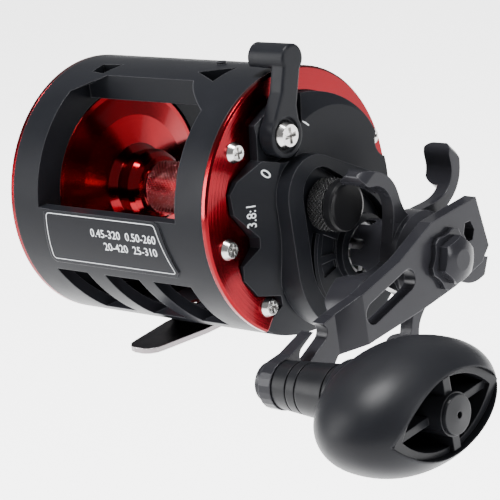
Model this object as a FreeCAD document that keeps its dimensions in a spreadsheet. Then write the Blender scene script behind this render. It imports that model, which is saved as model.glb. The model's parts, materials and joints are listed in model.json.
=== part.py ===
"""Trolling reel: a conventional right-hand reel with a one-piece frame and a star drag.

Frame of the model: +X runs along the spool axis towards the handle, +Y is the
front, where the line leaves, and +Z is up. The origin is the middle of the
underside of the reel foot. All sizes are in millimetres.
"""
import FreeCAD, Part
import math
import os
import re
import Sketcher

Vector = FreeCAD.Vector
Rotation = FreeCAD.Rotation

doc = FreeCAD.newDocument("TrollingReel")
sheet = doc.addObject("Spreadsheet::Sheet", "Dims")

# Every driving size: alias, value and what it is.
SIZES = [
    ("axis_height", 38.5, "foot underside to spool axis"),
    ("window_half", 27.5, "middle of the frame to the inner face of a ring"),
    ("ring_radius", 38.0, "outside of both frame rings"),
    ("ring_width", 10.2, "width of a frame ring"),
    ("ring_bore", 28.4, "hole through a frame ring"),
    ("lip_depth", 3.7, "depth of the recess that a spool rim runs in"),
    ("lip_radius", 29.3, "radius of that recess"),
    ("shell_wall", 3.5, "thickness of the bars between the rings"),
    ("thumb_bar_wall", 6.8, "thickness of the thumb bar"),
    ("trim_thickness", 1.8, "thickness of a red trim ring"),
    ("trim_chamfer", 0.6, "chamfer on the trim ring"),
    ("fit_gap", 0.2, "gap between parts that are screwed together"),
    ("run_gap", 0.05, "radial clearance of a turning shaft"),
    ("spool_radius", 28.7, "outside of the spool rims"),
    ("spool_half", 30.4, "middle of the spool to the outer face of a rim"),
    ("spool_rim", 2.4, "thickness of a spool rim"),
    ("arbor_radius", 7.6, "radius of the spool arbor"),
    ("hub_radius", 11.0, "radius of the polished hub inside each rim"),
    ("hub_inset", 14.8, "middle of the spool to the near end of that hub"),
    ("spool_cavity", 19.0, "radius of the hollow in each spool end"),
    ("cavity_depth", 2.6, "depth of that hollow"),
    ("spool_shaft_radius", 2.5, "spool shaft"),
    ("bearing_radius", 5.5, "outside of a spool bearing"),
    ("bearing_width", 4.0, "width of a spool bearing"),
    ("race_wall", 1.0, "thickness of a bearing race"),
    ("shaft_forward", 13.06, "spool axis to handle axis, forward"),
    ("shaft_drop", 17.2, "spool axis to handle axis, down"),
    ("main_teeth", 57, "teeth of the main gear"),
    ("pinion_teeth", 15, "teeth of the pinion"),
    ("gear_face", 39.3, "middle of the reel to the near face of the main gear"),
    ("gear_width", 3.4, "width of the main gear"),
    ("gear_shaft_radius", 3.5, "handle shaft"),
    ("shaft_length", 49.9, "length of the handle shaft"),
    ("cover_radius", 31.0, "round outline of the gear cover"),
    ("cover_face", 46.0, "middle of the reel to the flat of the gear cover"),
    ("cover_ceiling", 46.2, "middle of the reel to the roof of the gear room"),
    ("gear_lobe", 21.5, "outline of the cover round the handle axis"),
    ("housing_floor", 47.4, "middle of the reel to the floor of the housing"),
    ("housing_rim", 50.6, "middle of the reel to the rim of the housing"),
    ("housing_wall", 5.8, "wall of the housing round its lower part"),
    ("housing_brow", 4.0, "wall of the housing round its upper part"),
    ("housing_top", 7.5, "inside radius of the upper part of the housing"),
    ("housing_low", 17.0, "inside radius of the lower part of the housing"),
    ("housing_forward", 6.4, "spool axis to the lower housing centre, forward"),
    ("housing_drop", 15.1, "spool axis to the lower housing centre, down"),
    ("boss_radius", 10.1, "outside of the boss round the handle shaft"),
    ("boss_face", 49.7, "middle of the reel to the face of that boss"),
    ("plate_radius", 28.2, "outside of the gear plate"),
    ("plate_thickness", 6.0, "thickness of the gear plate"),
    ("plate_face", 37.4, "middle of the reel to the outer face of the gear plate"),
    ("cap_radius", 7.6, "knurled part of the cast control cap"),
    ("cap_base", 48.0, "middle of the reel to the near end of that cap"),
    ("cap_knurl", 5.2, "length of its knurled band"),
    ("cap_length", 9.2, "length of the cap"),
    ("cap_nose", 5.4, "radius of the end of the cap"),
    ("lever_back", 9.6, "spool axis to lever pivot, backward"),
    ("lever_rise", 22.4, "spool axis to lever pivot, up"),
    ("lever_boss", 6.2, "radius of the lever round its pivot"),
    ("lever_face", 42.6, "middle of the reel to the near face of the lever"),
    ("lever_thickness", 4.6, "thickness of the lever"),
    ("lever_width", 6.6, "width of the lever arm"),
    ("lever_length", 20.9, "pivot to the middle of the thumb tab"),
    ("lever_lean", 18.7, "lean of the lever from upright, in degrees"),
    ("tab_length", 13.0, "length of the thumb tab"),
    ("tab_radius", 4.1, "radius of the thumb tab"),
    ("screw_circle", 31.2, "radius of the screw circle at the rear"),
    ("front_screw_circle", 33.9, "radius of the front screw"),
    ("screw_head", 3.0, "radius of a side screw head"),
    ("screw_shank", 1.5, "radius of a side screw shank"),
    ("screw_length", 7.0, "length of a side screw under its head"),
    ("star_radius", 33.2, "star drag axis to the tip of an arm"),
    ("star_face", 65.0, "middle of the reel to the near face of the star"),
    ("star_web", 4.1, "thickness of the star arms"),
    ("star_paddle", 9.2, "width of the finger pads on the star"),
    ("star_hub", 12.6, "radius of the star hub"),
    ("star_hub_length", 4.4, "height of the hub above the arms"),
    ("cup_radius", 8.8, "outside of the drag cup"),
    ("cup_face", 51.4, "middle of the reel to the open end of the drag cup"),
    ("arm_face", 75.0, "middle of the reel to the near face of the handle arm"),
    ("arm_thickness", 4.0, "thickness of the handle arm"),
    ("arm_joggle", 3.5, "offset of the knob half of the arm towards the reel"),
    ("knob_back", 53.2, "spool axis to knob axis, backward"),
    ("knob_drop", 30.3, "spool axis to knob axis, down"),
    ("knob_half_length", 26.4, "half the length of the knob grip"),
    ("knob_half_height", 15.4, "half the height of the knob grip"),
    ("knob_depth", 37.4, "depth of the knob grip along its axis"),
    ("knob_stem", 6.4, "radius of the knob stem at the arm"),
    ("knob_end", 6.8, "radius of the handle arm round the knob"),
    ("knob_start", 96.3, "middle of the reel to the near end of the grip"),
    ("axle_radius", 3.0, "knob axle"),
    ("nut_flats", 11.6, "handle nut across its flats"),
    ("nut_height", 3.9, "height of the handle nut"),
    ("lock_thickness", 1.6, "thickness of the lock plate"),
    ("foot_length", 67.0, "length of the reel foot"),
    ("foot_width", 11.8, "width of the reel foot at its ends"),
    ("foot_root", 16.8, "width of the reel foot at the frame"),
    ("foot_thickness", 1.6, "thickness of the reel foot"),
    ("rivet_radius", 1.6, "foot rivets"),
    ("rivet_spacing", 16.0, "foot rivets, front to rear"),
    ("left_cover_radius", 29.5, "outline of the left side plate"),
    ("left_dome", 6.5, "height of the left side plate above its trim ring"),
    ("button_radius", 3.6, "clicker button"),
    ("button_slot", 6.0, "travel slot of the clicker button"),
]
ALIASES = {}
for row, (alias, value, note) in enumerate(SIZES, 1):
    sheet.set("A%d" % row, note)
    sheet.set("B%d" % row, str(value))
    sheet.setAlias("B%d" % row, alias)
    ALIASES[alias] = row
doc.recompute()

nodes = []


# --- helpers ------------------------------------------------------------------
def size(alias):
    """The value of one driving size."""
    return float(getattr(sheet, alias))


def bound(text):
    """Expression text with every alias pointed at the sheet."""
    return re.sub(r"[a-z_]+", lambda hit: "Dims." + hit.group(0)
                  if hit.group(0) in ALIASES else hit.group(0), str(text))


def bind(item, prop, text):
    item.setExpression(prop, bound(text))


def place(item, at, axis="z"):
    """Put an object at three expressions, with its own Z turned to the named axis."""
    turn = {"z": Rotation(), "x": Rotation(Vector(0, 1, 0), 90), "y": Rotation(Vector(1, 0, 0), -90)}
    item.Placement = FreeCAD.Placement(Vector(0, 0, 0), turn[axis])
    for letter, text in zip("xyz", at):
        bind(item, "Placement.Base." + letter, text)
    return item


def cylinder(radius, length, at, axis="x"):
    item = doc.addObject("Part::Cylinder", "Round")
    bind(item, "Radius", radius)
    bind(item, "Height", length)
    return place(item, at, axis)


def cone(first, second, length, at, axis="x"):
    item = doc.addObject("Part::Cone", "Taper")
    bind(item, "Radius1", first)
    bind(item, "Radius2", second)
    bind(item, "Height", length)
    return place(item, at, axis)


def box(length, width, height, at):
    item = doc.addObject("Part::Box", "Block")
    bind(item, "Length", length)
    bind(item, "Width", width)
    bind(item, "Height", height)
    return place(item, at)


def fuse(items):
    item = doc.addObject("Part::MultiFuse", "Joined")
    item.Shapes = items
    item.Refine = True
    return item


def cut(base, tools):
    item = doc.addObject("Part::Cut", "Cut")
    item.Base = base
    item.Tool = tools[0] if len(tools) == 1 else fuse(tools)
    item.Refine = True
    return item


def common(items):
    item = doc.addObject("Part::MultiCommon", "Shared")
    item.Shapes = items
    return item


def group(items):
    item = doc.addObject("Part::Compound", "Group")
    item.Links = items
    return item


def node(item, label):
    """Name a finished sub-part, which also lists it for export."""
    item.Label = label
    nodes.append(item)
    return item


def feature(shape, at=(0, 0, 0)):
    item = doc.addObject("Part::Feature", "Shape")
    item.Shape = shape
    item.Placement = FreeCAD.Placement(Vector(*at), Rotation()).multiply(shape.Placement)
    return item


def plane(body, role):
    for item in body.Origin.OriginFeatures:
        if item.Role == role:
            return item
    raise ValueError(role)


def polygon_sketch(body, role, points):
    """A closed outline whose every corner is held by two expressions."""
    sketch = body.newObject("Sketcher::SketchObject", "Outline")
    sketch.AttachmentSupport = (plane(body, role), [""])
    sketch.MapMode = "FlatFace"
    count = len(points)
    turns = [2 * math.pi * index / count for index in range(count)]
    start = [Vector(10 * math.cos(turn), 10 * math.sin(turn), 0) for turn in turns]
    for index in range(count):
        sketch.addGeometry(Part.LineSegment(start[index], start[(index + 1) % count]), False)
    for index in range(count):
        sketch.addConstraint(Sketcher.Constraint("Coincident", index, 2, (index + 1) % count, 1))
    for index, (across, up) in enumerate(points):
        for kind, value, text in (("DistanceX", start[index].x, across), ("DistanceY", start[index].y, up)):
            spot = sketch.addConstraint(Sketcher.Constraint(kind, index, 1, value))
            sketch.setExpression("Constraints[%d]" % spot, bound(text))
    return sketch


def lathe(points, at=("0", "0", "axis_height")):
    """Turn an outline of (x, radius) corners about the X axis."""
    body = doc.addObject("PartDesign::Body", "Turned")
    sketch = polygon_sketch(body, "XY_Plane", points)
    turned = body.newObject("PartDesign::Revolution", "Turn")
    turned.Profile = sketch
    turned.ReferenceAxis = (sketch, ["H_Axis"])
    turned.Angle = 360
    body.Tip = turned
    return place(body, at)


def prism(points, length, at, role="YZ_Plane", reverse=False):
    """Pad an outline of (y, z) corners along X, or of another origin plane."""
    body = doc.addObject("PartDesign::Body", "Plate")
    sketch = polygon_sketch(body, role, points)
    pad = body.newObject("PartDesign::Pad", "Pad")
    pad.Profile = sketch
    bind(pad, "Length", length)
    pad.Reversed = reverse
    body.Tip = pad
    return place(body, at)


def tube_points(near, far, inner, outer):
    return [(near, inner), (far, inner), (far, outer), (near, outer)]


def polar(radius, degrees, x=0.0):
    turn = math.radians(degrees)
    return Vector(x, radius * math.cos(turn), radius * math.sin(turn))


SPOOL_AXIS = ("0", "0", "axis_height")
SHAFT_AXIS = ("0", "shaft_forward", "axis_height - shaft_drop")
KNOB_AXIS = ("0", "-knob_back", "axis_height - knob_drop")
spool_z = size("axis_height")
shaft_y = size("shaft_forward")
shaft_z = spool_z - size("shaft_drop")
gear_module = 2 * math.hypot(size("shaft_forward"), size("shaft_drop")) / (size("main_teeth") + size("pinion_teeth"))
shaft_angle = math.degrees(math.atan2(-size("shaft_drop"), size("shaft_forward")))

# Angles of the side screws about the spool axis, seen from the handle side.
REAR_SCREWS = (138, 188, 233)
FRONT_SCREW = 16.5
LEFT_SCREWS = (54, 126, 198, 270, 342)


def at_angle(radius, degrees, x="0"):
    """Expressions of a point at an angle about the spool axis."""
    turn = math.radians(degrees)
    across = "(%s) * %.6f" % (radius, math.cos(turn))
    up = "axis_height + (%s) * %.6f" % (radius, math.sin(turn))
    return (x, across, up)


RIGHT_SPOTS = [("screw_circle", angle) for angle in REAR_SCREWS] + [("front_screw_circle", FRONT_SCREW)]
LEFT_SPOTS = [("screw_circle + 2", angle) for angle in LEFT_SCREWS]


# --- frame --------------------------------------------------------------------
def make_frame():
    outer_face = "window_half + ring_width"
    shell = cylinder("ring_radius", "2 * (window_half + ring_width)", ("-(%s)" % outer_face, "0", "axis_height"))
    hollow = cylinder("ring_radius - shell_wall", "2 * window_half", ("-window_half", "0", "axis_height"))
    holes = [hollow]
    holes.append(cylinder("ring_bore", "2 * (%s) + 2" % outer_face, ("-(%s) - 1" % outer_face, "0", "axis_height")))
    holes.append(cylinder("lip_radius", "2 * (window_half + lip_depth)", ("-window_half - lip_depth", "0", "axis_height")))
    # Main windows: their top corners slope down towards the rings.
    for side, back in (("-1", True), ("1", False)):
        points = [("-window_half", "axis_height + 4.2"), ("window_half", "axis_height + 4.2"),
                  ("window_half", "axis_height + ring_radius * 0.83"),
                  ("window_half - 12.5", "axis_height + ring_radius * 0.965"),
                  ("-window_half + 9", "axis_height + ring_radius * 0.965"),
                  ("-window_half", "axis_height + ring_radius * 0.88")]
        start = "-10.4" if back else "ring_radius + 2"
        holes.append(prism(points, "ring_radius - 8.4", ("0", start, "0"), "XZ_Plane", reverse=False))
    # Three slanting slots under the plate, in the rear and again in the front.
    for left, right, low_left, low_right in ((-27.3, -14.6, -22.3, -9.6), (-7.5, 6.4, -2.5, 11.4), (12.0, 26.8, 17.0, 27.3)):
        points = [(str(left), "axis_height - 15.2"), (str(right), "axis_height - 15.2"),
                  (str(low_right), "axis_height - 30.3"), (str(low_left), "axis_height - 30.3")]
        for back in (True, False):
            where = "-17" if back else "ring_radius + 2"
            holes.append(prism(points, "ring_radius - 15", ("0", where, "0"), "XZ_Plane", reverse=False))
    # Pockets in the thumb bar, and the flat that the foot bears on.
    for points in ([("12.9", "-5.5"), ("22.8", "-10.2"), ("23.6", "-0.4")],
                   [("-26.7", "-9"), ("-21.6", "-9.6"), ("-19.1", "-3.3"), ("-26.9", "-4.1")]):
        holes.append(prism(points, "6", ("0", "0", "axis_height + ring_radius - 3.6"), "XY_Plane"))
    holes.append(box("foot_root + 12", "40", "10", ("-foot_root / 2 - 6", "-20", "foot_thickness - 10")))
    saddle = box("foot_root + 9", "21", "5", ("-foot_root / 2 - 4.5", "-10.5", "foot_thickness"))
    plate = capacity_plate()
    bar = common([cut(cylinder("ring_radius - shell_wall + 0.1", "2 * window_half", ("-window_half", "0", "axis_height")),
                      [cylinder("ring_radius - thumb_bar_wall", "2 * window_half + 2", ("-window_half - 1", "0", "axis_height"))]),
                  box("2 * window_half", "20.8", "20", ("-window_half", "-10.4", "axis_height + 20"))])
    body = fuse([cut(shell, holes), bar])
    drills = []
    for radius, angle in RIGHT_SPOTS:
        drills.append(cylinder("screw_shank + run_gap", "screw_length + 1", at_angle(radius, angle, outer_face + " - screw_length")))
    for radius, angle in LEFT_SPOTS:
        drills.append(cylinder("screw_shank + run_gap", "screw_length + 1", at_angle(radius, angle, "-(%s) - 1" % outer_face)))
    for sign in ("-1", "1"):
        drills.append(cylinder("rivet_radius + run_gap", "8", ("0", "%s * rivet_spacing / 2" % sign, "0"), "z"))
    return node(cut(fuse([body, saddle, plate, thumb_stud()]), drills), "frame")


def capacity_plate():
    """The raised panel across the rear, with slanting ends."""
    points = [("-24.8", "axis_height + 3.4"), ("-23", "axis_height + 4.2"), ("19.6", "axis_height + 4.2"),
              ("21.4", "axis_height + 2.6"), ("25", "axis_height - 10.6"), ("23.6", "axis_height - 12.4"),
              ("-25", "axis_height - 12.4"), ("-26.4", "axis_height - 11")]
    panel = prism(points, "12", ("0", "-ring_radius + 7", "0"), "XZ_Plane")
    ring = cylinder("ring_radius + 0.5", "2 * window_half", ("-window_half", "0", "axis_height"))
    inside = cylinder("ring_radius - 1.5", "2 * window_half + 2", ("-window_half - 1", "0", "axis_height"))
    return common([panel, cut(ring, [inside])])


def thumb_stud():
    return cylinder("1.4", "2.2", ("14.6", "2.5", "axis_height + ring_radius - 1.6"), "z")


# --- foot ---------------------------------------------------------------------
def make_foot():
    half = "foot_length / 2"
    root = "13.4"
    side = "foot_width / 2"
    wide = "foot_root / 2"
    points = [(wide, "-" + root), (wide, root)]
    rim = [(side, "%s - 5" % half), ("%s - 0.6" % side, "%s - 2.4" % half), ("%s - 2.2" % side, "%s - 0.7" % half),
           ("%s - 4.2" % side, half)]
    points += rim
    points += [("-(%s)" % across, along) for across, along in reversed(rim)]
    points += [("-(%s)" % wide, root), ("-(%s)" % wide, "-" + root)]
    points += [("-(%s)" % across, "-(%s)" % along) for across, along in rim]
    points += [(across, "-(%s)" % along) for across, along in reversed(rim)]
    plate = prism(points, "foot_thickness", ("0", "0", "0"), "XY_Plane")
    holes = []
    for sign in ("-1", "1"):
        holes.append(cylinder("rivet_radius + run_gap", "foot_thickness + 2", ("0", "%s * rivet_spacing / 2" % sign, "-1"), "z"))
        holes.append(cone("rivet_radius * 2 + run_gap", "rivet_radius + run_gap", "rivet_radius",
                          ("0", "%s * rivet_spacing / 2" % sign, "0"), "z"))
    node(cut(plate, holes), "reel_foot")
    rivets = []
    for sign in ("-1", "1"):
        where = "%s * rivet_spacing / 2" % sign
        head = cone("rivet_radius * 2", "rivet_radius", "rivet_radius", ("0", where, "0"), "z")
        shank = cylinder("rivet_radius", "7.2", ("0", where, "0"), "z")
        rivets.append(fuse([head, shank]))
    node(group(rivets), "foot_rivets")


# --- screws -------------------------------------------------------------------
def pan_screw(at, sign, head, height, shank, length):
    """A pan head screw along X with a cross recess. sign is 1 when its head points to +X."""
    x, y, z = at
    down = "%s - %s" % (x, length) if sign > 0 else x
    crown = x if sign > 0 else "%s - %s" % (x, height)
    first, last = (head, "%s * 0.72" % head) if sign > 0 else ("%s * 0.72" % head, head)
    top = cone(first, last, height, (crown, y, z))
    stem = cylinder(shank, length, (down, y, z))
    slots = []
    cross = "%s * 0.28" % head
    arm = "%s * 1.05" % head
    begin = "%s + %s * 0.45" % (x, height) if sign > 0 else "%s - %s - 0.5" % (x, height)
    for wide, tall in ((arm, cross), (cross, arm)):
        slots.append(box("%s * 0.55 + 0.5" % height, wide, tall,
                         (begin, "%s - %s / 2" % (y, wide), "%s - %s / 2" % (z, tall))))
    return cut(fuse([top, stem]), slots)


def make_side_screws():
    seat = "window_half + ring_width + trim_thickness"
    right = []
    for radius, angle in RIGHT_SPOTS:
        right.append(pan_screw(at_angle(radius, angle, seat), 1, "screw_head", "1.7", "screw_shank", "screw_length"))
    node(group(right), "right_plate_screws")
    left = []
    for radius, angle in LEFT_SPOTS:
        left.append(pan_screw(at_angle(radius, angle, "-(%s)" % seat), -1, "screw_head", "1.7", "screw_shank", "screw_length"))
    node(group(left), "left_plate_screws")


# --- trim rings ---------------------------------------------------------------
def trim_disc(sign):
    near = "window_half + ring_width"
    flat = "trim_thickness - trim_chamfer"
    if sign > 0:
        flat_at, bevel_at = near, "%s + %s" % (near, flat)
        bevel = cone("ring_radius", "ring_radius - trim_chamfer", "trim_chamfer", (bevel_at, "0", "axis_height"))
    else:
        flat_at, bevel_at = "-(%s) - (%s)" % (near, flat), "-(%s) - trim_thickness" % near
        bevel = cone("ring_radius - trim_chamfer", "ring_radius", "trim_chamfer", (bevel_at, "0", "axis_height"))
    disc = cylinder("ring_radius", flat, (flat_at, "0", "axis_height"))
    return fuse([disc, bevel])


def make_right_ring():
    near = "window_half + ring_width"
    hole = cover_outline("fit_gap", near + " - 1", "trim_thickness + 2")
    drills = []
    for radius, angle in RIGHT_SPOTS:
        drills.append(cylinder("screw_shank + fit_gap", "trim_thickness + 2", at_angle(radius, angle, near + " - 1")))
    node(cut(trim_disc(1), [hole] + drills), "right_trim_ring")


def make_left_ring():
    near = "window_half + ring_width"
    start = "-(%s) - trim_thickness - 1" % near
    drills = [cylinder("left_cover_radius + fit_gap", "trim_thickness + 2", (start, "0", "axis_height"))]
    for radius, angle in LEFT_SPOTS:
        drills.append(cylinder("screw_shank + fit_gap", "trim_thickness + 2", at_angle(radius, angle, start)))
    node(cut(trim_disc(-1), drills), "left_trim_ring")


# --- gear cover on the handle side --------------------------------------------
REAR_EDGE = [(-10.2, 29.3), (-15.9, 26.4), (-17.3, 17.0), (-25.5, 13.3), (-28.1, 10.3), (-28.2, 4.7), (-22.2, -3.4),
             (-22.3, -6.3), (-27.2, -10.4), (-27.1, -14.6), (-22.9, -20.4), (-15.9, -22.4), (-14.9, -25.6),
             (-21.0, -32.6)]


def grown(corners, grow):
    """Expressions of closed outline corners, with every side moved out by grow."""
    out = []
    for index, (y, z) in enumerate(corners):
        sides = []
        for first, last in ((corners[index - 1], (y, z)), ((y, z), corners[(index + 1) % len(corners)])):
            run = math.hypot(last[0] - first[0], last[1] - first[1])
            sides.append((-(last[1] - first[1]) / run, (last[0] - first[0]) / run))
        share = 1 + sides[0][0] * sides[1][0] + sides[0][1] * sides[1][1]
        push = [-(sides[0][axis] + sides[1][axis]) / share for axis in (0, 1)]
        out.append(("%.3f + (%s) * %.4f" % (y, grow, push[0]), "axis_height + %.3f + (%s) * %.4f" % (z, grow, push[1])))
    return out


def cover_outline(grow, start, length):
    """Angular towards the rear, with a notch for each screw, and round towards the front."""
    low = "axis_height - shaft_drop"
    rear = common([prism(grown(REAR_EDGE + [(-21, -40), (4, -40), (4, 26)], grow), length, (start, "0", "0")),
                   cylinder("ring_radius + (%s)" % grow, length, (start, "0", "axis_height"))])
    lobes = [cylinder("cover_radius + (%s)" % grow, length, (start, "0", "axis_height")),
             cylinder("gear_lobe + (%s)" % grow, length, (start, "shaft_forward", low)),
             bottom_lobe(grow, start, length)]
    front = common([fuse(lobes), box("(%s) + 2" % length, "60", "90", ("(%s) - 1" % start, "-10.2 - (%s)" % grow, "-5"))])
    bay = cylinder("5.2 - (%s)" % grow, "(%s) + 2" % length, at_angle("front_screw_circle", FRONT_SCREW, "%s - 1" % start))
    return cut(fuse([rear, front]), [bay])


def bottom_lobe(grow, start, length):
    """Fills the outline out to the frame ring between the two lower lobes."""
    ring = cylinder("ring_radius + (%s)" % grow, length, (start, "0", "axis_height"))
    points = [("-20 - (%s)" % grow, "axis_height - 30"), ("-20 - (%s)" % grow, "axis_height - ring_radius - 1"),
              ("22", "axis_height - ring_radius - 1"), ("22", "axis_height - 20")]
    return common([ring, prism(points, length, (start, "0", "0"))])


def track(upper, top, lower, low, start, length):
    """A closed track round two circles, each given by its (y, z) centre and radius."""
    first = Vector(0, upper[0], upper[1])
    gap = (Vector(0, lower[0], lower[1]) - first).Length
    along = (Vector(0, lower[0], lower[1]) - first) / gap
    lean = math.asin((low - top) / gap)
    ends = []
    for side in (1, -1):
        across = Vector(0, -along.z * side, along.y * side)
        normal = across * math.cos(lean) - along * math.sin(lean)
        ends.append((first + normal * top, first + along * gap + normal * low))
    crown = Part.Arc(ends[0][0], first - along * top, ends[1][0]).toShape()
    base = Part.Arc(ends[1][1], first + along * (gap + low), ends[0][1]).toShape()
    sides = [Part.LineSegment(ends[1][0], ends[1][1]).toShape(), Part.LineSegment(ends[0][1], ends[0][0]).toShape()]
    face = Part.Face(Part.Wire([crown, sides[0], base, sides[1]]))
    return feature(face.extrude(Vector(length, 0, 0)), (start, 0, spool_z))


def make_gear_cover():
    near = "window_half + ring_width + 0.05"
    low = "axis_height - shaft_drop"
    base = cover_outline("0", near, "cover_face - window_half - ring_width - 0.05")
    # The face slopes down towards the rear, so a wide cone trims the outline.
    slope = cone("24.5 + 2.2 * 8.25", "24.5", "8.25", ("cover_face - 8.25", "7.5", "axis_height + 1"))
    face = common([base, slope])
    centre = (size("housing_forward"), -size("housing_drop"))
    floor = size("housing_floor")
    rim = track((-5, 4), size("housing_top") + size("housing_brow"), centre, size("housing_low") + size("housing_wall"),
                size("cover_face") - 3, size("housing_rim") - size("cover_face") + 3)
    well = track((-3, 4), size("housing_top"), centre, size("housing_low"), floor, size("housing_rim") - floor + 1)
    boss = cylinder("boss_radius", "boss_face - housing_floor + 0.8", ("housing_floor - 0.8", "shaft_forward", low))
    post = cylinder("cap_radius - 1.6", "3.2", ("housing_floor - 1", "0", "axis_height"))
    arc = cut(cylinder("20.9", "1.9", ("housing_floor - 0.6", "shaft_forward", low)),
              [cylinder("19.5", "4", ("housing_floor - 1", "shaft_forward", low)),
               cylinder("cap_radius + 1", "4", ("housing_floor - 1", "0", "axis_height"))])
    inner = track((-3, 4), size("housing_top") + 0.3, centre, size("housing_low") + 0.3, floor - 1, 4)
    solid = fuse([cut(fuse([face, rim]), [well]), common([arc, inner]), boss, post])
    start = "window_half + ring_width - 1"
    face_room = "cover_face - 1.6 - window_half - ring_width + 1"
    deep = track((-5, 4), size("housing_top") + size("housing_brow") - 1.4, centre, size("housing_low") + size("housing_wall") - 2.4,
                 size("window_half") + size("ring_width") - 1, size("cover_ceiling") - size("window_half") - size("ring_width") + 1)
    keep = [cylinder("10.6", "12", at_angle(radius, angle, start)) for radius, angle in RIGHT_SPOTS[:3]]
    keep.append(cylinder("lever_boss + 2.8", "6", ("lever_face - 1.7", "-lever_back", "axis_height + lever_rise")))
    room = cut(fuse([cylinder("gear_lobe - 2.4", face_room, (start, "shaft_forward", low)),
                     cone("25.5", "18.5", face_room, (start, "0", "axis_height")), deep]), keep)
    holes = [room,
             cylinder("7.5", "14", ("window_half + ring_width", "shaft_forward", low)),
             cylinder("spool_shaft_radius + 0.6", "16", ("window_half + ring_width", "0", "axis_height")),
             cylinder("2.4", "16", ("window_half + ring_width", "-lever_back", "axis_height + lever_rise")),
             cylinder("5.4", "lever_face - window_half - ring_width - 0.8", (start, "-lever_back", "axis_height + lever_rise")),
             lever_bay()]
    for first, last in ((149, 171), (179, 193)):
        spots = [polar(radius, turn) for radius, turn in ((10.8, first), (16.5, first), (16.5, last), (10.8, last))]
        corners = [("shaft_forward + %.3f" % spot.y, "axis_height - shaft_drop + %.3f" % spot.z) for spot in spots]
        holes.append(prism(corners, "2", ("housing_floor - 0.7", "0", "0")))
    node(cut(solid, holes), "gear_cover")


def lever_bay():
    """The sunk bay that the clutch lever swings in."""
    depth = "lever_face - 0.4"
    seat = cylinder("lever_boss + 1.4", "8", (depth, "-lever_back", "axis_height + lever_rise"))
    points = [("-lever_back - 2", "axis_height + lever_rise - 7.2"), ("-lever_back + 7.3", "axis_height + lever_rise + 0.8"),
              ("7.5", "axis_height + ring_radius + 2"), ("-36", "axis_height + ring_radius + 2"),
              ("-36", "axis_height + 16.9"), ("-17", "axis_height + 16.9")]
    return fuse([seat, prism(points, "8", (depth, "0", "0"))])


# --- clutch lever, cam and yoke ------------------------------------------------
def make_lever():
    thick = size("lever_thickness")
    wide = size("lever_width")
    reach = size("lever_length")
    lean = math.radians(size("lever_lean"))
    boss = Part.makeCylinder(size("lever_boss"), thick, Vector(0, 0, 0), Vector(1, 0, 0))
    arm_edges = [Vector(0, -size("lever_boss") * 0.98, 0.5), Vector(0, -wide / 2, reach * 0.55),
                 Vector(0, -wide / 2, reach), Vector(0, wide / 2, reach), Vector(0, wide / 2, reach * 0.4),
                 Vector(0, size("lever_boss") * 0.98, 0.5)]
    arm = Part.Face(Part.makePolygon(arm_edges + arm_edges[:1])).extrude(Vector(thick, 0, 0))
    tab_start = thick - size("tab_length")
    tab = Part.makeCylinder(size("tab_radius"), size("tab_length"), Vector(tab_start, 0, reach), Vector(1, 0, 0))
    flat = Part.makeBox(size("tab_length") + 2, 2 * size("tab_radius"), 2.4,
                        Vector(tab_start - 1, -size("tab_radius"), reach - size("tab_radius") - 1.2))
    lever = boss.fuse([arm, tab]).cut(flat.common(Part.makeBox(size("tab_length") - thick, 9, 3,
                                      Vector(tab_start - 1, -4.5, reach - 5.2)))).removeSplitter()
    recess = Part.makeCylinder(4.9, 2, Vector(thick - 0.9, 0, 0), Vector(1, 0, 0))
    bore = Part.makeCylinder(2.4, thick + 2, Vector(-1, 0, 0), Vector(1, 0, 0))
    lever = lever.cut(recess).cut(bore)
    rounded = [edge for edge in lever.Edges if abs(edge.BoundBox.XMin - thick) < 0.01 and edge.BoundBox.ZMax > 6
               and edge.BoundBox.XLength < 0.01]
    lever = lever.makeFillet(0.7, rounded)
    lever.rotate(Vector(0, 0, 0), Vector(1, 0, 0), -math.degrees(lean))
    node(feature(lever, (size("lever_face"), -size("lever_back"), spool_z + size("lever_rise"))), "clutch_lever")


def make_lever_screw():
    seat = "lever_face + lever_thickness - 0.9"
    at = (seat, "-lever_back", "axis_height + lever_rise")
    node(pan_screw(at, 1, "4.3", "2.2", "1.5", "7"), "lever_screw")


def make_cam():
    """Shaft of the lever through the cover, with the kick arm that lifts the yoke."""
    x, y, z = ("lever_face", "-lever_back", "axis_height + lever_rise")
    shaft = cylinder("2.4 - run_gap", "5.2", ("lever_face - 2", y, z))
    arm = prism([("-lever_back - 2.2", z), ("-lever_back + 2.2", z), ("-lever_back + 5.6", z + " - 9.6"),
                 ("-lever_back + 2.6", z + " - 10.8")], "1.0", ("lever_face - 2.9", "0", "0"))
    hub = cylinder("3.4", "1.0", ("lever_face - 2.9", y, z))
    kicker = cylinder("1.6", "gear_face + gear_width + 0.6 - lever_face + 2.9",
                      ("lever_face - 2.9", "-lever_back + 4.1", z + " - 10.2"))
    bore = cylinder("screw_shank + run_gap", "12", ("lever_face - 6", y, z))
    node(cut(fuse([shaft, arm, hub, kicker]), [bore]), "clutch_cam")


def yoke_spots():
    turn = math.radians(shaft_angle + 90)
    return [(8 * math.cos(turn) * side, 8 * math.sin(turn) * side) for side in (1, -1)]


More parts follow.
